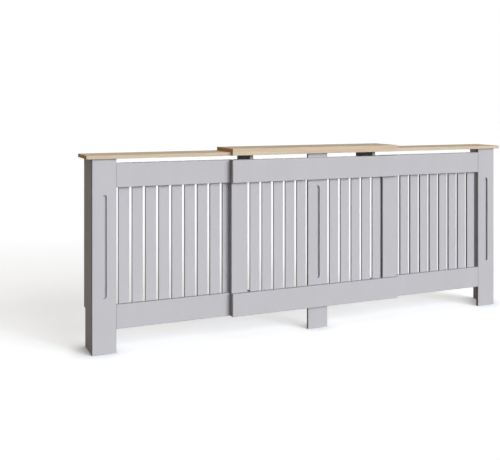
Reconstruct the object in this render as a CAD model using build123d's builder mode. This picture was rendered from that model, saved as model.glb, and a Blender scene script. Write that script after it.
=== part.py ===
from build123d import *
import os

# Radiator cover cabinet that pulls out to fit a long radiator. Millimetres, +Z up.
# The origin lies on the floor, under the middle of the whole cover. +X runs along
# the front to the right, +Y runs back to the wall. The cover is modelled pulled out.
#
# A middle section stands on one centre leg. A left and a right end section, each
# with its own side panel, slide in behind its front and under its top board.

os.makedirs("parts", exist_ok=True)

# ---------------------------------------------------------------- driving sizes
overall_width = 2090.0  # pulled out
overall_height = 820.0
overall_depth = 190.0  # front of the middle section to the wall

top_thickness = 15.0
board_thickness = 15.0  # side panels, posts, rails, arms and lip
leg_thickness = 12.0  # centre leg and the two stiles of the middle section
end_slat_thickness = 10.0
middle_slat_thickness = 7.0

post_width = 99.0
rail_height = 99.0
leg_width = 99.0
stile_width = 75.0
slat_width = 45.0
slats_per_end = 10
slats_per_half = 5  # slats on each side of the centre leg

floor_gap = 97.5  # floor to the underside of the bottom rails
vent_gap = 18.0  # top of the rails to the underside of the end boards
rail_tail = 43.5  # length of an end rail past its last slat
section_overlap = 114.0  # how far an end section stays behind the middle one
sliding_gap = 0.5  # running clearance between sections

end_overhang = 25.0  # end boards past the side panels
lip_height = 15.0  # lip under the front edge of the middle board
lip_gap = 2.0  # back of the lip to the front edge of the end boards

upper_arm_height = 99.0
lower_arm_height = 87.0
lower_arm_depth = 60.0

skirting_height = 160.0  # notch that lets the side panels pass a skirting board
skirting_depth = 25.0

groove_width = 19.0  # stopped groove in the posts and the centre leg
groove_depth = 7.5
groove_margin = 29.0  # rail edge to the rounded end of the groove

eased_edge = 1.0  # small chamfer round the painted boards
top_edge_round = 1.5

dowel_diameter = 6.0
dowel_length = 24.0
dowel_in_face = 9.0  # depth of a dowel in the face of a board
dowel_fit = 0.1  # play round a dowel
dowel_end_room = 1.0  # glue room past each end of a dowel

bracket_leg = 35.0
bracket_thickness = 2.0
bracket_bend = 3.0  # outside radius of the bend
wall_bracket_width = 20.0
wall_bracket_drop = 55.0  # end board to the middle of the wall bracket
wall_hole_diameter = 5.0
board_bracket_width = 44.0

screw_shank_diameter = 3.0
screw_shank_length = 10.0
screw_head_diameter = 6.4
screw_head_height = 1.8
screw_play = 0.1
screw_first = 12.0  # bend of a bracket to its first screw
screw_second = 27.0

# ---------------------------------------------------------------- worked-out sizes
# Half the cover holds a row of slats with one gap more than slats. All gaps are equal.
slats_in_row = slats_per_end + slats_per_half
half_without_slats = end_overhang + post_width + rail_tail + stile_width + leg_width / 2
slat_room = overall_width / 2 - half_without_slats + section_overlap
slat_gap = (slat_room - slats_in_row * slat_width) / (slats_in_row + 1)
slat_pitch = slat_width + slat_gap
end_length = post_width + slats_per_end * slat_pitch + rail_tail
half_middle = leg_width / 2 + slats_per_half * slat_pitch + slat_gap + stile_width
outer_x = overall_width / 2 - end_overhang  # outer faces of the side panels
inner_x = outer_x - end_length  # inner ends of the end sections

front_y = -overall_depth / 2  # front of the middle rails and of the lip
middle_y = front_y + board_thickness  # front of the middle slats, stiles and leg
leg_back_y = middle_y + leg_thickness
end_y = leg_back_y + sliding_gap  # front of the posts and end rails
end_back_y = end_y + board_thickness  # back of the end rails, front of the end slats
wall_y = overall_depth / 2
skirting_y = wall_y - skirting_depth

middle_board_z = overall_height - top_thickness
end_board_top_z = middle_board_z - sliding_gap
post_top_z = end_board_top_z - top_thickness
rail_top_z = post_top_z - vent_gap
upper_rail_z = rail_top_z - rail_height
lower_rail_z = floor_gap
lower_rail_top_z = floor_gap + rail_height

groove_low_z = lower_rail_top_z + groove_margin
groove_high_z = upper_rail_z - groove_margin

dowel_shift = dowel_length / 2 - dowel_in_face  # middle of a dowel past the joint
panel_distance = outer_x - board_thickness / 2  # middle of the cover to a side panel
arm_distance = inner_x + board_thickness / 2  # middle of the cover to an arm
wall_bracket_z = post_top_z - wall_bracket_drop
screw_depth = screw_shank_length - bracket_thickness  # thread in the wood
screw_hole_radius = screw_shank_diameter / 2 + screw_play

slide_travel = inner_x - leg_width / 2 - sliding_gap
side_names = {-1: "left", 1: "right"}


# ---------------------------------------------------------------- helpers
def span(side, near, far):
    """Low and high X of a piece that lies near to far from the middle of the cover."""
    return sorted((side * near, side * far))


def quarter_points(low, high):
    """Where the two dowels or screws of a joint stand between its ends."""
    return [low + (high - low) / 4, high - (high - low) / 4]


def board(x_range, z_range, y_front, thickness):
    """A board that faces the front: its outline is drawn on its front face."""
    x_low, x_high = x_range
    z_low, z_high = z_range
    with BuildSketch(Plane.XZ.offset(-y_front)) as outline:
        with Locations(((x_low + x_high) / 2, (z_low + z_high) / 2)):
            Rectangle(x_high - x_low, z_high - z_low)
    extrude(outline.sketch, amount=-thickness)


def ease_front():
    """Chamfer the edges of the face that looks to the front."""
    chamfer(faces().sort_by(Axis.Y)[0].edges(), eased_edge)


def stopped_groove(x, y_front):
    """Cut an upright groove with a flat bottom and round ends into a front face."""
    with BuildSketch(Plane.XZ.offset(-y_front)) as outline:
        with Locations((x, (groove_low_z + groove_high_z) / 2)):
            SlotOverall(groove_high_z - groove_low_z, groove_width, rotation=90)
    extrude(outline.sketch, amount=-groove_depth, mode=Mode.SUBTRACT)


def along(axis, x, y, z):
    """A place whose own Z runs along the named axis of the cover."""
    turn = {"x": (0, 90, 0), "y": (-90, 0, 0), "z": (0, 0, 0)}
    return Location((x, y, z), turn[axis])


def dowel_holes(places):
    """Bore the holes that take the dowels at these places."""
    with Locations(*places):
        Cylinder(
            dowel_diameter / 2 + dowel_fit,
            dowel_length + 2 * dowel_end_room,
            mode=Mode.SUBTRACT,
        )


def screw_holes(places):
    """Bore the pilot holes of the screws that are driven in at these places."""
    with Locations(*places):
        Cylinder(screw_hole_radius, 2 * (screw_depth + screw_play), mode=Mode.SUBTRACT)


def bracket_holes(places, radius):
    """Drill a bracket right through at these places."""
    with Locations(*places):
        Cylinder(radius, 3 * bracket_thickness, mode=Mode.SUBTRACT)


def screws(places):
    """Pan head screws through a bracket. A place lies where the wood starts, and
    its own Z points out of the wood."""
    with Locations(*places):
        with Locations((0, 0, bracket_thickness + screw_head_height / 2)):
            Cylinder(screw_head_diameter / 2, screw_head_height)
        with Locations((0, 0, bracket_thickness - screw_shank_length / 2)):
            Cylinder(screw_shank_diameter / 2, screw_shank_length)


def save(piece, name):
    piece.part.label = name
    export_step(piece.part, f"parts/{name}.step")


# ---------------------------------------------------------------- joints of an end section
def rail_dowels(side, rail_z):
    """Dowels from a rail's outer end into the edge of the post."""
    x = side * (outer_x - post_width)
    y = end_y + board_thickness / 2
    return [along("x", x, y, z) for z in quarter_points(rail_z, rail_z + rail_height)]


def panel_dowels(side):
    """Dowels from the side panel's front edge into the back of the post."""
    heights = (lower_rail_z, (lower_rail_z + rail_top_z) / 2, rail_top_z)
    return [along("y", side * panel_distance, end_back_y + dowel_shift, z) for z in heights]


def top_dowels(side, distance):
    """Dowels from a panel or arm, this far from the middle, up into the end board."""
    z = post_top_z - dowel_shift
    return [along("z", side * distance, y, z) for y in quarter_points(end_back_y, wall_y)]


def arm_dowels(side, arm_z, arm_height, rail_z):
    """Dowels from an arm's front edge into the back of the rail it is fixed to."""
    z_low = max(arm_z, rail_z)
    z_high = min(arm_z + arm_height, rail_z + rail_height)
    y = end_back_y + dowel_shift
    return [along("y", side * arm_distance, y, z) for z in quarter_points(z_low, z_high)]


def upper_arm_dowels(side):
    return arm_dowels(side, post_top_z - upper_arm_height, upper_arm_height, upper_rail_z)


def lower_arm_dowels(side):
    return arm_dowels(side, lower_rail_z, lower_arm_height, lower_rail_z)


def wall_screws(side):
    """Screws that hold a wall bracket to the inner face of the side panel."""
    x = side * (outer_x - board_thickness)
    out_of_wood = (0, -90 * side, 0)
    places = (wall_y - screw_first, wall_y - screw_second)
    return [Location((x, y, wall_bracket_z), out_of_wood) for y in places]


# ---------------------------------------------------------------- left and right end sections
def make_side_panel(side):
    """Side panel behind the post, notched at the back for the skirting board."""
    x_low, x_high = span(side, outer_x - board_thickness, outer_x)
    with BuildPart() as panel:
        with BuildSketch(Plane.YZ.offset(x_low)):
            with BuildLine():
                Polyline(
                    (end_back_y, 0),
                    (skirting_y, 0),
                    (skirting_y, skirting_height),
                    (wall_y, skirting_height),
                    (wall_y, post_top_z),
                    (end_back_y, post_top_z),
                    close=True,
                )
            make_face()
        extrude(amount=x_high - x_low)
        outer_face = panel.faces().sort_by(Axis.X)[0 if side < 0 else -1]
        chamfer(outer_face.edges(), eased_edge)
        dowel_holes(panel_dowels(side) + top_dowels(side, panel_distance))
        screw_holes(wall_screws(side))
    return panel


def make_post(side):
    """Post at the outer end of the front, with the cove groove down its middle."""
    with BuildPart() as post:
        board(span(side, outer_x - post_width, outer_x), (0, post_top_z), end_y, board_thickness)
        ease_front()
        stopped_groove(side * (outer_x - post_width / 2), end_y)
        dowel_holes(rail_dowels(side, lower_rail_z) + rail_dowels(side, upper_rail_z))
        dowel_holes(panel_dowels(side))
    return post


def make_end_rail(side, rail_z, arm_places):
    """Rail from the post to the arm at its inner end."""
    with BuildPart() as rail:
        x_range = span(side, inner_x, outer_x - post_width)
        board(x_range, (rail_z, rail_z + rail_height), end_y, board_thickness)
        ease_front()
        dowel_holes(rail_dowels(side, rail_z) + arm_places)
    return rail


def make_end_slat(side, number):
    """Slat behind the two rails, counted from the post inwards."""
    outer = outer_x - post_width - slat_gap - number * slat_pitch
    with BuildPart() as slat:
        x_range = span(side, outer - slat_width, outer)
        board(x_range, (lower_rail_z, rail_top_z), end_back_y, end_slat_thickness)
        ease_front()
    return slat


def make_end_top(side):
    """Top board of an end section. The middle board passes over it."""
    x_low, x_high = span(side, inner_x, outer_x + end_overhang)
    y_low = middle_y + lip_gap
    with BuildPart() as top:
        with BuildSketch(Plane.XY.offset(post_top_z)):
            with Locations(((x_low + x_high) / 2, (y_low + wall_y) / 2)):
                Rectangle(x_high - x_low, wall_y - y_low)
        extrude(amount=top_thickness)
        front_edges = top.faces().sort_by(Axis.Y)[0].edges().filter_by(Axis.X)
        outer_face = top.faces().sort_by(Axis.X)[0 if side < 0 else -1]
        fillet(front_edges + outer_face.edges().filter_by(Axis.Y), top_edge_round)
        dowel_holes(top_dowels(side, panel_distance) + top_dowels(side, arm_distance))
    return top


def make_arm(side, z_range, y_back, places):
    """Arm on edge, from the back of a rail's inner end back to y_back."""
    x_low, x_high = span(side, inner_x, inner_x + board_thickness)
    z_low, z_high = z_range
    with BuildPart() as arm:
        with BuildSketch(Plane.YZ.offset(x_low)):
            with Locations(((end_back_y + y_back) / 2, (z_low + z_high) / 2)):
                Rectangle(y_back - end_back_y, z_high - z_low)
        extrude(amount=x_high - x_low)
        dowel_holes(places)
    return arm


def make_dowels(side):
    """All glued dowels of one end section."""
    places = rail_dowels(side, lower_rail_z) + rail_dowels(side, upper_rail_z)
    places += panel_dowels(side)
    places += top_dowels(side, panel_distance) + top_dowels(side, arm_distance)
    places += upper_arm_dowels(side) + lower_arm_dowels(side)
    with BuildPart() as dowels:
        with Locations(*places):
            Cylinder(dowel_diameter / 2, dowel_length)
    return dowels


def bent_strip(plane, start, corner, end, width):
    """Steel strip bent once. The three points follow its outside, and the metal
    lies on the left of the way from start to end."""
    with BuildSketch(plane) as section:
        with BuildLine():
            outside = FilletPolyline(start, corner, end, radius=bracket_bend)
            offset(outside, amount=bracket_thickness, side=Side.LEFT)
        make_face()
    extrude(section.sketch, amount=width / 2, both=True)


def make_wall_bracket(side):
    """Angle that ties the side panel to the wall, inside the cover."""
    x_panel = side * (outer_x - board_thickness)
    panel_end = (x_panel, wall_y - bracket_leg)
    corner = (x_panel, wall_y)
    wall_end = (x_panel - side * bracket_leg, wall_y)
    ends = (panel_end, wall_end) if side > 0 else (wall_end, panel_end)
    hole_x = x_panel - side * (screw_first + screw_second) / 2
    with BuildPart() as bracket:
        bent_strip(Plane.XY.offset(wall_bracket_z), ends[0], corner, ends[1], wall_bracket_width)
        bracket_holes([along("y", hole_x, wall_y, wall_bracket_z)], wall_hole_diameter / 2)
        bracket_holes(wall_screws(side), screw_hole_radius)
    return bracket


for side, side_name in side_names.items():
    save(make_side_panel(side), f"{side_name}_side_panel")
    save(make_post(side), f"{side_name}_post")
    save(make_end_rail(side, upper_rail_z, upper_arm_dowels(side)), f"{side_name}_top_rail")
    save(make_end_rail(side, lower_rail_z, lower_arm_dowels(side)), f"{side_name}_bottom_rail")
    for number in range(slats_per_end):
        save(make_end_slat(side, number), f"{side_name}_slat_{number + 1:02d}")
    save(make_end_top(side), f"{side_name}_top_board")
    upper_arm = make_arm(
        side,
        (post_top_z - upper_arm_height, post_top_z),
        wall_y,
        upper_arm_dowels(side) + top_dowels(side, arm_distance),
    )
    save(upper_arm, f"{side_name}_upper_arm")
    lower_arm = make_arm(
        side,
        (lower_rail_z, lower_rail_z + lower_arm_height),
        end_back_y + lower_arm_depth,
        lower_arm_dowels(side),
    )
    save(lower_arm, f"{side_name}_lower_arm")
    save(make_dowels(side), f"{side_name}_dowels")
    save(make_wall_bracket(side), f"{side_name}_wall_bracket")
    with BuildPart() as bracket_screws:
        screws(wall_screws(side))
    save(bracket_screws, f"{side_name}_bracket_screws")


# ---------------------------------------------------------------- middle section
board_bracket_spots = quarter_points(-board_bracket_width / 2, board_bracket_width / 2)


def leg_screws():
    """Screws of the board bracket that go into the back of the centre leg."""
    z = middle_board_z - screw_second
    return [Location((x, leg_back_y, z), (-90, 0, 0)) for x in board_bracket_spots]


def board_screws():
    """Screws of the board bracket that go up into the middle board."""
    y = leg_back_y + screw_second
    return [Location((x, y, middle_board_z), (180, 0, 0)) for x in board_bracket_spots]


with BuildPart() as middle_top_board:
    with BuildSketch(Plane.XY.offset(middle_board_z)):
        Rectangle(2 * half_middle, overall_depth)
    extrude(amount=top_thickness)
    upper_face = middle_top_board.faces().sort_by(Axis.Z)[-1]
    side_edges = upper_face.edges().filter_by(Axis.Y)
    front_edge = upper_face.edges().filter_by(Axis.X).sort_by(Axis.Y)[0]
    fillet(side_edges + [front_edge], top_edge_round)
    screw_holes(board_screws())
save(middle_top_board, "middle_top_board")

with BuildPart() as middle_lip:
    lip_range = (middle_board_z - lip_height, middle_board_z)
    board((-half_middle, half_middle), lip_range, front_y, board_thickness)
    lower_face = middle_lip.faces().sort_by(Axis.Z)[0]
    fillet(lower_face.edges().filter_by(Axis.X).sort_by(Axis.Y)[0], top_edge_round)
save(middle_lip, "middle_lip")

for rail_name, rail_z in (("top", upper_rail_z), ("bottom", lower_rail_z)):
    with BuildPart() as middle_rail:
        x_range = (-half_middle, half_middle)
        board(x_range, (rail_z, rail_z + rail_height), front_y, board_thickness)
        ease_front()
    save(middle_rail, f"middle_{rail_name}_rail")

for side, side_name in side_names.items():
    with BuildPart() as stile:
        x_range = span(side, half_middle - stile_width, half_middle)
        board(x_range, (lower_rail_z, rail_top_z), middle_y, leg_thickness)
        ease_front()
    save(stile, f"middle_{side_name}_stile")

first_slat_x = leg_width / 2 + slat_gap
for number in range(2 * slats_per_half):
    side = -1 if number < slats_per_half else 1
    steps = slats_per_half - 1 - number if side < 0 else number - slats_per_half
    near = first_slat_x + steps * slat_pitch
    with BuildPart() as middle_slat:
        x_range = span(side, near, near + slat_width)
        board(x_range, (lower_rail_z, rail_top_z), middle_y, middle_slat_thickness)
        ease_front()
    save(middle_slat, f"middle_slat_{number + 1:02d}")

with BuildPart() as centre_leg:
    board((-leg_width / 2, leg_width / 2), (0, middle_board_z), middle_y, leg_thickness)
    chamfer(
        centre_leg.faces().sort_by(Axis.Y)[0].edges().filter_by(Axis.Z),
        eased_edge,
    )
    stopped_groove(0, middle_y)
    screw_holes(leg_screws())
save(centre_leg, "centre_leg")

with BuildPart() as board_bracket:
    bent_strip(
        Plane.YZ,
        (leg_back_y + bracket_leg, middle_board_z),
        (leg_back_y, middle_board_z),
        (leg_back_y, middle_board_z - bracket_leg),
        board_bracket_width,
    )
    bracket_holes(leg_screws() + board_screws(), screw_hole_radius)
save(board_bracket, "board_bracket")

with BuildPart() as board_bracket_screws:
    screws(leg_screws() + board_screws())
save(board_bracket_screws, "board_bracket_screws")

print(f"pushed in {overall_width - 2 * slide_travel:.1f} mm wide")
print(f"each end section slides {slide_travel:.1f} mm")
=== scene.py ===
# %% [markdown]
# # A slatted radiator cover that pulls out
# The cover is made of painted fibreboard with light oak boards on top. A middle section stands on
# one leg, and an end section slides in behind it from each side. Its boards, brackets and dowels
# come in as a solid model, so this lesson is about what makes them look real: paint and its
# texture, oak with its grain, zinc plate, the screws at the back, and quiet studio light.

from math import degrees, pi, radians

import bpy
from mathutils import Matrix, Vector


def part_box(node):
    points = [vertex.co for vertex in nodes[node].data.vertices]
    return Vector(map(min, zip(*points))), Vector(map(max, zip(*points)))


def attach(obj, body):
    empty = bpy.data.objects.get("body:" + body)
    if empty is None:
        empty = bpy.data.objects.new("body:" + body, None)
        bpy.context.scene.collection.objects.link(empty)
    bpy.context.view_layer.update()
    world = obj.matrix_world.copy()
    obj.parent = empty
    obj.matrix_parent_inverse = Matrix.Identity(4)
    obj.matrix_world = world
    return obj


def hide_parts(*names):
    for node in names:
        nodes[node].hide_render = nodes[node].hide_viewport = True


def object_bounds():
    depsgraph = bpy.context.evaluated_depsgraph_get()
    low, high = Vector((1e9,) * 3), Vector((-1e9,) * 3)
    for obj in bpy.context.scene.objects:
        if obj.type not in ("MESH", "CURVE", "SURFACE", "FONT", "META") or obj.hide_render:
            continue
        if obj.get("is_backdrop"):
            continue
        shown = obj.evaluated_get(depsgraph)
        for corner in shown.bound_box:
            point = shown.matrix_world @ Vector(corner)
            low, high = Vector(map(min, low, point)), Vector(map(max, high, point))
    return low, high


MM = 0.001

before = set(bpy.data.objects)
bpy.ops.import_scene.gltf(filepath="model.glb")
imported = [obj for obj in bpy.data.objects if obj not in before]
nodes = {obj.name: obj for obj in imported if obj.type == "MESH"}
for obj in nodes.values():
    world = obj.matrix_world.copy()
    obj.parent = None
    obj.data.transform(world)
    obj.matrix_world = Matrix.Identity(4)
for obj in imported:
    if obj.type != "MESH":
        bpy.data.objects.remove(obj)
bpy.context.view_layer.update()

# %% [markdown]
# ## Camera
# The picture was taken a little above the cover's top, from the front left, with the camera held
# level. A level camera keeps every upright edge upright in the picture. It still shows more floor
# than wall above the cover, and that is the lens shifted down, not the camera tilted. So the camera
# turns about the upright only, and the horizon is placed with the shift.

# %% The camera
PICTURE_WIDTH, PICTURE_HEIGHT = 500, 460
FOCAL_PIXELS = 765.5
HORIZON_ROW = 107.2
SENSOR_MM = 36
CAMERA_PLACE = Vector((-1.6678, -3.1334, 0.9985))
CAMERA_TURN = 0.4116

lens = bpy.data.cameras.new("picture_lens")
lens.sensor_width = SENSOR_MM
lens.lens = FOCAL_PIXELS / PICTURE_WIDTH * SENSOR_MM
lens.shift_y = (HORIZON_ROW - PICTURE_HEIGHT / 2) / PICTURE_WIDTH
camera = bpy.data.objects.new("picture_camera", lens)
bpy.context.scene.collection.objects.link(camera)
camera.location = CAMERA_PLACE
camera.rotation_euler = (pi / 2, 0, -CAMERA_TURN)
bpy.context.scene.camera = camera
print(f"lens {lens.lens:.1f} mm, turned {degrees(CAMERA_TURN):.1f} degrees to the right")

# %% [markdown]
# ## Screws
# From the front no screw shows. Behind, countersunk screws hold the slats, stiles and leg to both
# rails, and pan head screws hold the angle brackets. Both kinds start as one circle. A ring is
# pulled out of it and scaled, again and again, which is how a round part is modelled by hand. The
# cross in the head is cut with two crossed tapered bars and a Boolean modifier, because a painted
# cross would look flat as soon as the light comes from the side.

# %% Small helpers for modelling by hand
def only(*pieces):
    """Select these pieces and nothing else. The last one becomes the active one."""
    bpy.ops.object.select_all(action="DESELECT")
    for piece in pieces:
        piece.select_set(True)
        bpy.context.view_layer.objects.active = piece


def edit_faces(piece, wanted):
    """Go into edit mode with only those faces selected that pass the test."""
    only(piece)
    bpy.ops.object.mode_set(mode="EDIT")
    bpy.ops.mesh.select_mode(type="FACE")
    bpy.ops.mesh.select_all(action="DESELECT")
    bpy.ops.object.mode_set(mode="OBJECT")
    for face in piece.data.polygons:
        face.select = wanted(face)
    bpy.ops.object.mode_set(mode="EDIT")


# %% Turn a round part from one circle
SCREW_SIDES = 20


def turned(name, rings):
    """A round part. Each ring is (radius, height), from the tip to the top of the head."""
    radius, height = rings[0]
    bpy.ops.object.select_all(action="DESELECT")
    bpy.ops.mesh.primitive_circle_add(
        vertices=SCREW_SIDES, radius=radius, fill_type="NGON", location=(0, 0, height)
    )
    part = bpy.context.object
    part.name = name
    bpy.ops.object.transform_apply()
    bpy.ops.object.mode_set(mode="EDIT")
    bpy.ops.mesh.select_all(action="SELECT")
    for next_radius, next_height in rings[1:]:
        bpy.ops.mesh.extrude_region_move(
            TRANSFORM_OT_translate={"value": (0, 0, next_height - height)}
        )
        share = next_radius / radius
        bpy.ops.transform.resize(value=(share, share, 1), center_override=(0, 0, next_height))
        radius, height = next_radius, next_height
    bpy.ops.mesh.select_all(action="SELECT")
    bpy.ops.mesh.normals_make_consistent(inside=False)
    bpy.ops.object.mode_set(mode="OBJECT")
    return part


# %% Cut the cross
CROSS_WIDTH = 0.75 * MM
BOTTOM_SHARE = 0.4
SMOOTH_BELOW = radians(35)


def looks_down(face):
    return face.normal.z < -0.5


def cut_cross(part, reach, depth, top):
    """Cut a cross recess that narrows to BOTTOM_SHARE of its size at the bottom."""
    for turn in (0, pi / 2):
        bpy.ops.object.select_all(action="DESELECT")
        bpy.ops.mesh.primitive_cube_add(size=1, location=(0, 0, top), rotation=(0, 0, turn))
        bar = bpy.context.object
        bar.scale = (2 * reach, CROSS_WIDTH, 2 * depth)
        bpy.ops.object.transform_apply()
        edit_faces(bar, looks_down)
        bpy.ops.transform.resize(
            value=(BOTTOM_SHARE, BOTTOM_SHARE, 1), center_override=(0, 0, top - depth)
        )
        bpy.ops.object.mode_set(mode="OBJECT")
        only(part)
        cut = part.modifiers.new("cross", "BOOLEAN")
        cut.operation, cut.solver, cut.object = "DIFFERENCE", "EXACT", bar
        bpy.ops.object.modifier_apply(modifier=cut.name)
        bpy.data.objects.remove(bar)
    only(part)
    bpy.ops.object.shade_smooth_by_angle(angle=SMOOTH_BELOW)


# %% Model the two kinds of screw
TIP_RADIUS = 0.5 * MM


def shank(radius, length, point, top):
    """Rings from the tip, over a point that widens to the shank, up to the head."""
    return [(TIP_RADIUS, -length), (radius, point - length), (radius, top)]


def head(radius, base, steps):
    """Rings of a head, from (inset, height above the base) steps in millimetres."""
    return [(radius - inset * MM, base + height * MM) for inset, height in steps]


SUNK_RADIUS, SUNK_DEPTH = 3.5 * MM, 2.2 * MM
sunk_rings = shank(radius=1.6 * MM, length=18 * MM, point=3 * MM, top=-SUNK_DEPTH)
sunk_rings += head(SUNK_RADIUS, 0, [(0.1, -0.35), (0, -0.1), (0.15, 0)])
countersunk = turned("countersunk_model", sunk_rings)
cut_cross(countersunk, reach=1.9 * MM, depth=1.3 * MM, top=sunk_rings[-1][1])

PAN_RADIUS, PLATE_THICKNESS = 3.2 * MM, 2 * MM
PAN_STEPS = [(0.1, 0), (0, 0.15), (0, 0.7), (0.35, 1.3), (1.2, 1.68), (2.3, 1.8)]
pan_rings = shank(radius=1.5 * MM, length=8 * MM, point=1.4 * MM, top=PLATE_THICKNESS)
pan_rings += head(PAN_RADIUS, PLATE_THICKNESS, PAN_STEPS)
pan_head = turned("pan_head_model", pan_rings)
cut_cross(pan_head, reach=1.75 * MM, depth=1.1 * MM, top=pan_rings[-1][1])
print(f"faces: countersunk {len(countersunk.data.polygons)}, pan head {len(pan_head.data.polygons)}")

# %% [markdown]
# A person drives screws one by one, so no two crosses point the same way. Each copy is turned by
# the golden angle more than the one before. That looks random, never repeats, and gives the same
# result each time the lesson is run.

# %% Drive the screws
GOLDEN_ANGLE = pi * (3 - 5 ** 0.5)
PROUD = 0.1 * MM


def drive(model, name, places, body):
    """Copy a screw to each (point, direction out of the wood), as one piece."""
    copies = []
    for count, (point, out) in enumerate(places):
        screw = model.copy()
        screw.data = model.data.copy()
        bpy.context.scene.collection.objects.link(screw)
        aim = Vector(out).to_track_quat("Z", "Y").to_matrix().to_4x4()
        screw.matrix_world = (
            Matrix.Translation(point) @ aim @ Matrix.Rotation(count * GOLDEN_ANGLE, 4, "Z")
        )
        copies.append(screw)
    only(*copies)
    bpy.ops.object.join()
    bpy.ops.object.transform_apply()
    piece = bpy.context.object
    piece.name = name
    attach(piece, body)
    return piece


def middle_of(node, axis):
    low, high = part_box(node)
    return (low[axis] + high[axis]) / 2


def back_screws(node, rails, spread=0.0):
    """Screws in the back of an upright board, one or two on each rail."""
    x, y = middle_of(node, 0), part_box(node)[1].y + PROUD
    sides = (-spread, spread) if spread else (0,)
    return [
        (Vector((x + side, y, middle_of(rail, 2))), (0, 1, 0)) for rail in rails for side in sides
    ]


# %% Screws behind the slats
PAIR_SPREAD = 24 * MM
WIDE_BOARDS = {
    "left": (),
    "right": (),
    "middle": ("middle_left_stile", "centre_leg", "middle_right_stile"),
}

screw_pieces = []
for section, wide_boards in WIDE_BOARDS.items():
    rails = (f"{section}_top_rail", f"{section}_bottom_rail")
    places = []
    for slat in sorted(name for name in nodes if name.startswith(f"{section}_slat_")):
        places += back_screws(slat, rails)
    for board in wide_boards:
        places += back_screws(board, rails, spread=PAIR_SPREAD)
    screw_pieces.append(drive(countersunk, f"{section}_slat_screws", places, f"{section}_section"))
    print(f"{section} section: {len(places)} screws in the backs of its boards")

# %% Screws of the brackets
for side, inwards in (("left", 1), ("right", -1)):
    node = f"{side}_bracket_screws"
    low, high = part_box(node)
    panel_low, panel_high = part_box(f"{side}_side_panel")
    x = panel_high.x if inwards > 0 else panel_low.x
    places = [
        (Vector((x, y, middle_of(node, 2))), (inwards, 0, 0))
        for y in (low.y + PAN_RADIUS, high.y - PAN_RADIUS)
    ]
    piece = drive(pan_head, f"{side}_pan_heads", places, f"{side}_section")
    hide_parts(node)
    screw_pieces.append(piece)

low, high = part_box("board_bracket_screws")
leg_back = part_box("centre_leg")[1].y
under_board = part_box("middle_top_board")[0].z
places = []
for x in (low.x + PAN_RADIUS, high.x - PAN_RADIUS):
    places.append((Vector((x, leg_back, low.z + PAN_RADIUS)), (0, 1, 0)))
    places.append((Vector((x, high.y - PAN_RADIUS, under_board)), (0, 0, -1)))
piece = drive(pan_head, "board_pan_heads", places, "middle_section")
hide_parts("board_bracket_screws")
screw_pieces.append(piece)
for model in (countersunk, pan_head):
    bpy.data.objects.remove(model)
print(f"{len(screw_pieces)} sets of screws, those of the brackets where the solid model has them")

# %% [markdown]
# ## Building materials from parts
# Every finish here is a Principled BSDF fed by a node group. The group holds one effect, such as
# paint on fibreboard or oak grain, and has its own inputs, so the same group gives a different
# result in each material. A short helper adds a node and sets its values in one line, because node
# trees written out in full are hard to read.

# %% Node helpers
class Tree:
    """Adds and joins nodes in one node tree."""

    def __init__(self, tree):
        self.tree = tree

    def node(self, kind, inputs=None, **settings):
        """Add a node. inputs are values or sockets to join, settings are the node's own."""
        made = self.tree.nodes.new("ShaderNode" + kind)
        for key, value in settings.items():
            setattr(made, key, value)
        for key, value in (inputs or {}).items():
            self.feed(made.inputs[key], value)
        return made

    def feed(self, socket, value):
        if isinstance(value, bpy.types.NodeSocket):
            self.tree.links.new(value, socket)
        else:
            socket.default_value = value

    def math(self, operation, *values, clamp=False):
        made = self.node("Math", operation=operation, use_clamp=clamp)
        for socket, value in zip(made.inputs, values):
            self.feed(socket, value)
        return made.outputs[0]

    def vector(self, operation, *values, out="Vector"):
        made = self.node("VectorMath", operation=operation)
        for socket, value in zip(made.inputs, values):
            self.feed(socket, value)
        return made.outputs[out]

    def remap(self, value, low, high, to_low=0.0, to_high=1.0, smooth=False):
        made = self.node(
            "MapRange",
            {0: value, 1: low, 2: high, 3: to_low, 4: to_high},
            interpolation_type="SMOOTHSTEP" if smooth else "LINEAR",
        )
        return made.outputs[0]

    def mix(self, share, first, second, blend="MIX"):
        """Mix two colours. They go into sockets 6 and 7, past those for numbers and vectors."""
        made = self.node("Mix", data_type="RGBA", blend_type=blend)
        self.feed(made.inputs[0], share)
        self.feed(made.inputs[6], first)
        self.feed(made.inputs[7], second)
        return made.outputs[2]


def emptied(block):
    """The node tree of a new material or world, with nothing in it yet."""
    block.use_nodes = True
    block.node_tree.nodes.clear()
    return Tree(block.node_tree)


# %% [markdown]
# All four effects put out the same three things: a colour, a roughness and a height for the bump.
# They also share a few steps. The scale of a noise is how many of its patches go into a metre, and
# a stretched noise has one such number for each axis. The way a face looks tells the broad faces
# of a board from its edges and ends.

# %% A group for one effect
NOISE_LOW, NOISE_HIGH = 0.3, 0.7


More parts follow.
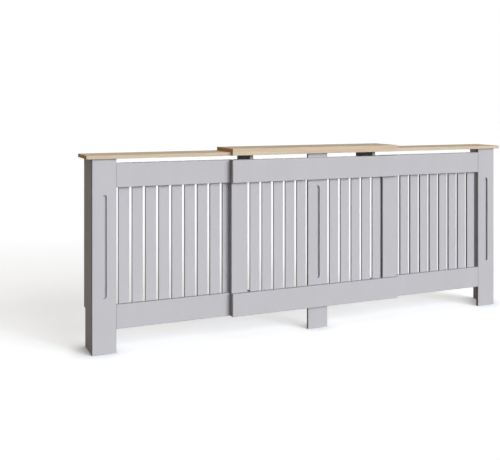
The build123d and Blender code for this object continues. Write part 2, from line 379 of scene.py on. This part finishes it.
class Group(Tree):
    """A node group for one effect. inputs are (name, kind of socket, start value)."""

    def __init__(self, name, inputs):
        super().__init__(bpy.data.node_groups.new(name, "ShaderNodeTree"))
        new_socket = self.tree.interface.new_socket
        for label, kind, start in inputs:
            socket = new_socket(label, in_out="INPUT", socket_type="NodeSocket" + kind)
            socket.default_value = start
        for label, kind in (("Colour", "Color"), ("Roughness", "Float"), ("Height", "Float")):
            new_socket(label, in_out="OUTPUT", socket_type="NodeSocket" + kind)
        self.given = self.tree.nodes.new("NodeGroupInput").outputs
        self.result = self.tree.nodes.new("NodeGroupOutput").inputs

    def put_out(self, colour, roughness, height):
        for label, value in (("Colour", colour), ("Roughness", roughness), ("Height", height)):
            self.feed(self.result[label], value)
        print(f"{self.tree.name}: {len(self.tree.nodes)} nodes")

    def place(self):
        """The point on the board, in metres."""
        return self.node("TexCoord").outputs["Object"]

    def facing(self, direction):
        """1 where a face looks along the direction or against it, 0 where it looks sideways."""
        normal = self.node("TexCoord").outputs["Normal"]
        return self.math("ABSOLUTE", self.vector("DOT_PRODUCT", normal, direction, out="Value"))

    def noise(self, where, per_metre, detail=2.0, roughness=0.5, out="Fac"):
        made = self.node(
            "TexNoise",
            {"Vector": where, "Scale": per_metre, "Detail": detail, "Roughness": roughness},
        )
        return made.outputs[out]

    def stretched(self, where, per_metre, **settings):
        """Noise with a size of its own along each axis."""
        return self.noise(self.vector("MULTIPLY", where, per_metre), 1, **settings)

    def swing(self, noise, low, high):
        """Noise keeps mostly to its middle. Stretch that middle to go from low to high."""
        return self.remap(noise, NOISE_LOW, NOISE_HIGH, low, high)

    def shaded(self, colour, tone):
        """The colour, made lighter or darker by one value."""
        grey = self.node("CombineColor", {0: tone, 1: tone, 2: tone}).outputs[0]
        return self.mix(1.0, colour, grey, blend="MULTIPLY")


# %% [markdown]
# ## Paint on fibreboard
# Sprayed satin paint is never quite even. Seen close, it has the fine dimples that painters call
# orange peel, and over a hand's width it is a trace lighter or darker. The edges of a board are
# duller and feel like fine felt, and their colour carries painted shade: they are darker, like the
# sides of slats in their narrow gaps and the ledges of the rails. The group finds the edges by the
# way a face looks: it is told which way the board's two broad faces look, and what looks elsewhere
# is an edge. How much painted shade an edge gets beside a broad face is an input too, and a value
# above 1 makes the edges lighter than the faces instead.

# %% The paint group
CLOUDS, SMEARS, PEEL, FELT = 7, 26, 420, 1900
STREAKS = (22, 22, 1.6)
FELT_ON_FACES, FELT_ON_EDGES = 0.12, 0.9
DULLER_EDGES = 0.25

paint = Group(
    "painted_fibreboard",
    [("Colour", "Color", (0.5, 0.5, 0.5, 1)), ("Broad Faces", "Vector", (0, 1, 0)),
     ("Satin", "Float", 0.45), ("Unevenness", "Float", 0.02), ("Painted Edge Shade", "Float", 0.66)],
)
place = paint.place()
edge = paint.remap(paint.facing(paint.given["Broad Faces"]), 0.98, 0.6, smooth=True)

cloud = paint.math("SUBTRACT", paint.noise(place, CLOUDS, detail=3), 0.5)
streak = paint.math("SUBTRACT", paint.stretched(place, STREAKS), 0.5)
drift = paint.math("ADD", cloud, streak)
tone = paint.math("MULTIPLY_ADD", drift, paint.given["Unevenness"], 1.0)
# Painted shade: the edges are made darker than the broad faces by the given factor, or lighter above
# 1.
tone = paint.math("MULTIPLY", tone, paint.remap(edge, 0, 1, 1.0, paint.given["Painted Edge Shade"]))

smear = paint.noise(place, SMEARS, detail=3)
dull = paint.math("ADD", paint.given["Satin"], paint.swing(smear, -0.04, 0.05))
dull = paint.math("ADD", dull, paint.math("MULTIPLY", edge, DULLER_EDGES), clamp=True)

felt = paint.math(
    "MULTIPLY", paint.noise(place, FELT), paint.remap(edge, 0, 1, FELT_ON_FACES, FELT_ON_EDGES)
)
height = paint.math("ADD", paint.noise(place, PEEL, detail=1.5), felt)
paint.put_out(paint.shaded(paint.given["Colour"], tone), dull, height)

# %% [markdown]
# ## Oak
# Wood grain is the log seen through a cut. If the rings are built as rings round the heart of the
# log, the same pattern gives long lines on the broad face, finer lines on the front edge and arcs
# on the end, and it never tears at a corner. The rings are bent by slow noise along the board. The
# fibres are very long thin noise, and wider noise of the same kind makes bands that are lighter or
# darker. The pores are short dark dashes, mostly in the pale early wood of each ring. The top and
# underside carry painted shade: they are pulled towards the late wood, darker than the front edge,
# as a top lit from the front is. The ends are darker, since cut fibres soak up the oil.

# %% The rings, fibres and pores of oak
WANDER = (1.1, 5, 5)
FIBRES = (9, 330, 330)
BANDS = (2.5, 45, 45)
PORES = (55, 1500, 1500)
RING_BEND = 50 * MM
LATE_RISE, LATE_END = 3.0, 0.93

oak = Group(
    "oak_board",
    [("Light Wood", "Color", (0.7, 0.55, 0.4, 1)), ("Late Wood", "Color", (0.5, 0.35, 0.2, 1)),
     ("End Grain", "Color", (0.5, 0.3, 0.15, 1)), ("Heart Of Log", "Vector", (0, 0, -0.1)),
     ("Ring Width", "Float", 0.006), ("Contrast", "Float", 0.5)],
)
place = oak.vector("SUBTRACT", oak.place(), oak.given["Heart Of Log"])
wander = oak.vector("SUBTRACT", oak.stretched(place, WANDER, out="Color"), (0.5, 0.5, 0.5))
bent = oak.vector("ADD", place, oak.vector("MULTIPLY", wander, (0, RING_BEND, RING_BEND)))
radius = oak.vector("LENGTH", oak.vector("MULTIPLY", bent, (0, 1, 1)), out="Value")
rings = oak.math("FRACT", oak.math("DIVIDE", radius, oak.given["Ring Width"]))
late = oak.math("POWER", rings, LATE_RISE)
late = oak.math("MULTIPLY", late, oak.remap(rings, 1.0, LATE_END, smooth=True))

fibre = oak.stretched(place, FIBRES, detail=3, roughness=0.6)
band = oak.stretched(place, BANDS)
pores = oak.remap(oak.stretched(place, PORES, detail=1), 0.60, 0.72, smooth=True)
pores = oak.math("MULTIPLY", pores, oak.remap(rings, 0.2, 0.9, 1.0, 0.35))
print("oak rings are bent by up to", round(RING_BEND / 2 / MM), "mm")

# %% The oak's colour, roughness and height
LATE_WOOD_SHARE, PAINTED_TOP_SHADE = 0.55, 0.38
PORE_DARKNESS = 0.35
END_ARC = (0.38, 0.19, 0.075, 1)
DULLER_PORES, DULLER_ENDS = 0.15, 0.15

grain = oak.math("MULTIPLY", late, LATE_WOOD_SHARE)
grain = oak.math("ADD", grain, oak.swing(fibre, -0.22, 0.30))
grain = oak.math("ADD", grain, oak.swing(band, -0.25, 0.35))
# Painted shade: faces that look up or down are pulled towards the late wood, darker than the front
# edge.
broad = oak.remap(oak.facing((0, 0, 1)), 0.6, 0.95, 0, PAINTED_TOP_SHADE, smooth=True)
grain = oak.math("ADD", grain, broad)
grain = oak.math("MULTIPLY", grain, oak.given["Contrast"], clamp=True)
long_grain = oak.mix(grain, oak.given["Light Wood"], oak.given["Late Wood"])
dashes = oak.math("MULTIPLY", pores, PORE_DARKNESS)
long_grain = oak.mix(dashes, long_grain, oak.given["Late Wood"])

end = oak.remap(oak.facing((1, 0, 0)), 0.55, 0.9, smooth=True)
arcs = oak.math("ADD", oak.math("MULTIPLY", late, 0.5), oak.remap(band, 0.35, 0.65, 0, 0.35))
end_grain = oak.mix(arcs, oak.given["End Grain"], END_ARC)

rough = oak.math("ADD", oak.swing(fibre, 0.50, 0.62), oak.math("MULTIPLY", pores, DULLER_PORES))
rough = oak.math("ADD", rough, oak.math("MULTIPLY", end, DULLER_ENDS))
relief = oak.math("SUBTRACT", oak.math("MULTIPLY", fibre, 0.6), pores)
oak.put_out(oak.mix(end, long_grain, end_grain), rough, relief)

# %% [markdown]
# ## Zinc and bare beech
# Zinc plate has a faint patchwork of crystals, each a little lighter or duller than its neighbour.
# A Voronoi pattern gives one value to each cell, which is that patchwork. The glued dowels are bare
# beech: a pale wood with short brown flecks.

# %% The zinc group
STAINS, ZINC_GRIT = 120, 900

zinc = Group(
    "zinc_plate", [("Colour", "Color", (0.6, 0.6, 0.6, 1)), ("Crystals", "Float", 500.0)]
)
place = zinc.place()
cells = zinc.node("TexVoronoi", {"Vector": place, "Scale": zinc.given["Crystals"]})
flake = zinc.node("SeparateColor", {0: cells.outputs["Color"]}).outputs[0]
stain = zinc.swing(zinc.noise(place, STAINS, detail=3), -0.06, 0.04)
tone = zinc.math("ADD", zinc.remap(flake, 0, 1, 0.88, 1.04), stain)
zinc.put_out(
    zinc.shaded(zinc.given["Colour"], tone),
    zinc.remap(flake, 0, 1, 0.30, 0.46),
    zinc.noise(place, ZINC_GRIT),
)

# %% The beech group
FLECKS, BEECH_FUZZ = (260, 900, 900), 1200
FLECK_STRENGTH = 0.6

beech = Group(
    "bare_beech",
    [("Colour", "Color", (0.7, 0.5, 0.3, 1)), ("Fleck Colour", "Color", (0.4, 0.22, 0.1, 1))],
)
place = beech.place()
flecks = beech.remap(beech.stretched(place, FLECKS), 0.58, 0.66, 0, FLECK_STRENGTH)
beech.put_out(
    beech.mix(flecks, beech.given["Colour"], beech.given["Fleck Colour"]),
    beech.remap(flecks, 0, FLECK_STRENGTH, 0.62, 0.72),
    beech.noise(place, BEECH_FUZZ),
)

# %% [markdown]
# ## Finishes
# A finish places one group and gives it its values. What is the same all over, such as how strongly
# the surface mirrors, is set on the Principled BSDF itself. The bump is given in real metres: paint
# stands up a few hundredths of a millimetre, oak pores go a little deeper.

# %% A material from one group
def finish(name, group, values, relief, specular=0.5, metallic=0.0):
    """A material from one group. relief is the height of its bumps in metres."""
    material = bpy.data.materials.new(name)
    tree = emptied(material)
    placed = tree.node("Group", node_tree=group.tree)
    for label, value in values.items():
        placed.inputs[label].default_value = value
    bump = tree.node("Bump", {"Height": placed.outputs["Height"], "Distance": relief})
    surface = tree.node(
        "BsdfPrincipled",
        {
            "Base Color": placed.outputs["Colour"],
            "Roughness": placed.outputs["Roughness"],
            "Normal": bump.outputs["Normal"],
            "Specular IOR Level": specular,
            "Metallic": metallic,
        },
    )
    tree.node("OutputMaterial", {"Surface": surface.outputs[0]})
    return material


# %% [markdown]
# There are three paints. Two are the same grey for boards that look to the front and for boards
# that look sideways. The third is for the arms at the back: their broad faces carry painted shade,
# a dark grey for the deep shade under the top boards, and their ends are brought back to about the
# plain grey. One such end shows as a light strip in the gap under the middle board, beside the dark
# face of its arm.

# %% The paints
GREY = (0.542, 0.558, 0.618, 1)
# The arms' dark grey is painted shade, standing for the deep shade under the top boards.
ARM_PAINTED_SHADE = (0.215, 0.212, 0.222, 1)
PAINT_RELIEF = 0.03 * MM

front_paint = finish(
    "grey_paint_front_boards", paint,
    {"Colour": GREY, "Broad Faces": (0, 1, 0), "Satin": 0.55, "Unevenness": 0.05},
    PAINT_RELIEF, specular=0.03,
)
side_paint = finish(
    "grey_paint_side_boards", paint,
    {"Colour": GREY, "Broad Faces": (1, 0, 0), "Satin": 0.60, "Unevenness": 0.05},
    PAINT_RELIEF, specular=0.03,
)
# Painted shade on the arms' broad faces; the edge factor brings their ends back to about the plain
# grey.
painted_shade_arm_paint = finish(
    "grey_primer_inner_boards", paint,
    {"Colour": ARM_PAINTED_SHADE, "Broad Faces": (1, 0, 0), "Satin": 0.80, "Unevenness": 0.08,
     "Painted Edge Shade": 2.6},
    PAINT_RELIEF, specular=0.02,
)
print("paints:", front_paint.name, side_paint.name, painted_shade_arm_paint.name)

# %% The oak of each board
LIGHT_OAK = (0.69, 0.605, 0.485, 1)
LATE_OAK = (0.49, 0.365, 0.235, 1)
END_OAK = (0.88, 0.56, 0.265, 1)
OAK_CONTRAST = 0.75
OAK_RELIEF = 0.05 * MM


def oak_finish(name, heart, ring_width):
    values = {
        "Light Wood": LIGHT_OAK, "Late Wood": LATE_OAK, "End Grain": END_OAK,
        "Heart Of Log": heart, "Ring Width": ring_width, "Contrast": OAK_CONTRAST,
    }
    return finish(name, oak, values, OAK_RELIEF, specular=0.03)


oak_finishes = {
    "left_top_board": oak_finish("oak_left", (0.30, 0.07, 0.66), 4.6 * MM),
    "right_top_board": oak_finish("oak_right", (-0.55, -0.05, 0.70), 5.2 * MM),
    "middle_top_board": oak_finish("oak_middle", (0.10, 0.02, 0.69), 5.6 * MM),
    "middle_lip": oak_finish("oak_lip", (0.83, -0.16, 0.72), 4.2 * MM),
}
print("each oak board is sawn from its own place in a log:", len(oak_finishes), "boards")

# %% Zinc and beech
BRACKET_GREY = (0.42, 0.42, 0.43, 1)
SCREW_GREY = (0.50, 0.49, 0.47, 1)
PALE_BEECH = (0.72, 0.52, 0.33, 1)

bracket_zinc = finish(
    "zinc_brackets", zinc, {"Colour": BRACKET_GREY, "Crystals": 420.0}, 0.01 * MM, metallic=1.0
)
screw_zinc = finish(
    "zinc_screws", zinc, {"Colour": SCREW_GREY, "Crystals": 1500.0}, 0.005 * MM, metallic=1.0
)
dowel_beech = finish("beech_dowels", beech, {"Colour": PALE_BEECH}, 0.03 * MM, specular=0.3)
print("metal and beech:", bracket_zinc.name, screw_zinc.name, dowel_beech.name)

# %% [markdown]
# ## Dress every board
# A board's name says what it is made of. The front boards look to the front with their broad
# faces, and the side panels look sideways, so each gets the paint that was told so. The arms look
# sideways too, and get the paint with painted shade on their broad faces.

# %% Give each board its finish
def finish_for(name):
    if name in oak_finishes:
        return oak_finishes[name]
    # The arms get the paint with painted shade on their broad faces.
    if name.endswith("arm"):
        return painted_shade_arm_paint
    if name.endswith("screws"):
        return screw_zinc
    if name.endswith("bracket"):
        return bracket_zinc
    if name.endswith("dowels"):
        return dowel_beech
    return side_paint if name.endswith("panel") else front_paint


def dress(piece, material):
    piece.data.materials.clear()
    piece.data.materials.append(material)


for name, board in nodes.items():
    dress(board, finish_for(name))
for piece in screw_pieces:
    dress(piece, screw_zinc)
print("dressed", len(nodes), "boards and fittings and", len(screw_pieces), "sets of screws")

# %% [markdown]
# ## Lamps
# The shadows in the picture run from the feet to the back left, so the main light comes from the
# front right, a little above. It is a sun lamp, because it lights a two metre front evenly from end
# to end. Its angle is very wide, which makes the shadows soft. A second, narrow lamp stands for the
# bright middle of the same window: it draws the faint sharper streak behind each foot. A third one
# shines level from behind, like light thrown back by a wall, so that the back isn't lost in the
# dark. Being level, it puts almost no light on the floor and on the top boards.

# %% The lamps
def lamp(name, towards_light, strength, angle):
    """A sun lamp. Its angle is how wide it looks from the cover, in degrees."""
    data = bpy.data.lights.new(name, "SUN")
    data.energy, data.angle = strength, radians(angle)
    made = bpy.data.objects.new(name, data)
    bpy.context.scene.collection.objects.link(made)
    made.rotation_euler = Vector(towards_light).to_track_quat("Z", "Y").to_euler()
    return made


lamps = [
    lamp("window_light", towards_light=(0.45, -0.86, 0.35), strength=2.55, angle=50),
    lamp("window_core", towards_light=(0.45, -0.86, 0.28), strength=0.52, angle=6),
    lamp("back_light", towards_light=(0.06, 1.0, 0.0), strength=1.8, angle=6),
]
print("lamps:", {made.name: round(made.data.energy, 2) for made in lamps})

# %% [markdown]
# ## Surround and floor
# The rest of the light comes from a warm world, dim at the horizon and brighter overhead. The
# surround is white only for the camera and for reflections, so its white adds no light.
#
# The floor has two colours. A warm, darker one throws light back on the cover. A nearly white one is
# what the camera and reflections see, and it gives the shadows their tint. For the camera and for
# reflections, the floor also glows a little, so that it is white wherever no shadow falls. The glow
# would also light the corner where a foot stands, and the foot would seem to float. So it fades
# within 95 mm of what stands on the floor, which is just too short a reach for the rails above.

# %% The world
HORIZON_LIGHT = (0.035, 0.030, 0.024, 1)
OVERHEAD_LIGHT = (0.434, 0.372, 0.305, 1)
WHITE = (1, 1, 1, 1)


def seen_directly(tree):
    """1 for rays from the camera, or from a mirror or glass, and 0 for light on the object."""
    ray = tree.node("LightPath").outputs
    mirrored = tree.math("MAXIMUM", ray["Is Glossy Ray"], ray["Is Transmission Ray"])
    return tree.math("MAXIMUM", ray["Is Camera Ray"], mirrored)


world = bpy.data.worlds.new("surround")
bpy.context.scene.world = world
sky = emptied(world)
upwards = sky.node("SeparateXYZ", {0: sky.node("TexCoord").outputs["Generated"]}).outputs[2]
soft_light = sky.mix(sky.remap(upwards, 0, 1), HORIZON_LIGHT, OVERHEAD_LIGHT)
shown = sky.mix(seen_directly(sky), soft_light, WHITE)
background = sky.node("Background", {"Color": shown, "Strength": 1.0})
sky.node("OutputWorld", {"Surface": background.outputs[0]})
print(f"world: {len(sky.tree.nodes)} nodes")

# %% The floor
FLOOR_SIZE = 60
FLOOR_THROWN_BACK = (0.39, 0.33, 0.263, 1)
FLOOR_SEEN = (0.865, 0.937, 1.03, 1)
FLOOR_GLOW = 0.48
CONTACT_REACH = 95 * MM
CONTACT_FALL = 2.0

bpy.ops.object.select_all(action="DESELECT")
bpy.ops.mesh.primitive_plane_add(size=FLOOR_SIZE, location=(0, 0, 0))
floor = bpy.context.object
floor.name = "studio_floor"
floor_look = bpy.data.materials.new("studio_floor")
ground = emptied(floor_look)
direct = seen_directly(ground)
matt = ground.node("BsdfDiffuse", {"Color": ground.mix(direct, FLOOR_THROWN_BACK, FLOOR_SEEN)})
openness = ground.node("AmbientOcclusion", {"Distance": CONTACT_REACH}, samples=16).outputs["AO"]
shine = ground.math("MULTIPLY", ground.math("POWER", openness, CONTACT_FALL), FLOOR_GLOW)
glow = ground.node("Emission", {"Strength": ground.math("MULTIPLY", direct, shine)})
both = ground.node("AddShader", {0: matt.outputs[0], 1: glow.outputs[0]})
ground.node("OutputMaterial", {"Surface": both.outputs[0]})
dress(floor, floor_look)
floor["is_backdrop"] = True
bpy.context.scene.view_settings.view_transform = "Standard"
print("floor and surround are white to the camera")

# %% [markdown]
# ## Measure
# The dressed cover has to be as large as the solid model, so its box is measured.

# %% Measure the sizes
low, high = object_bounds()
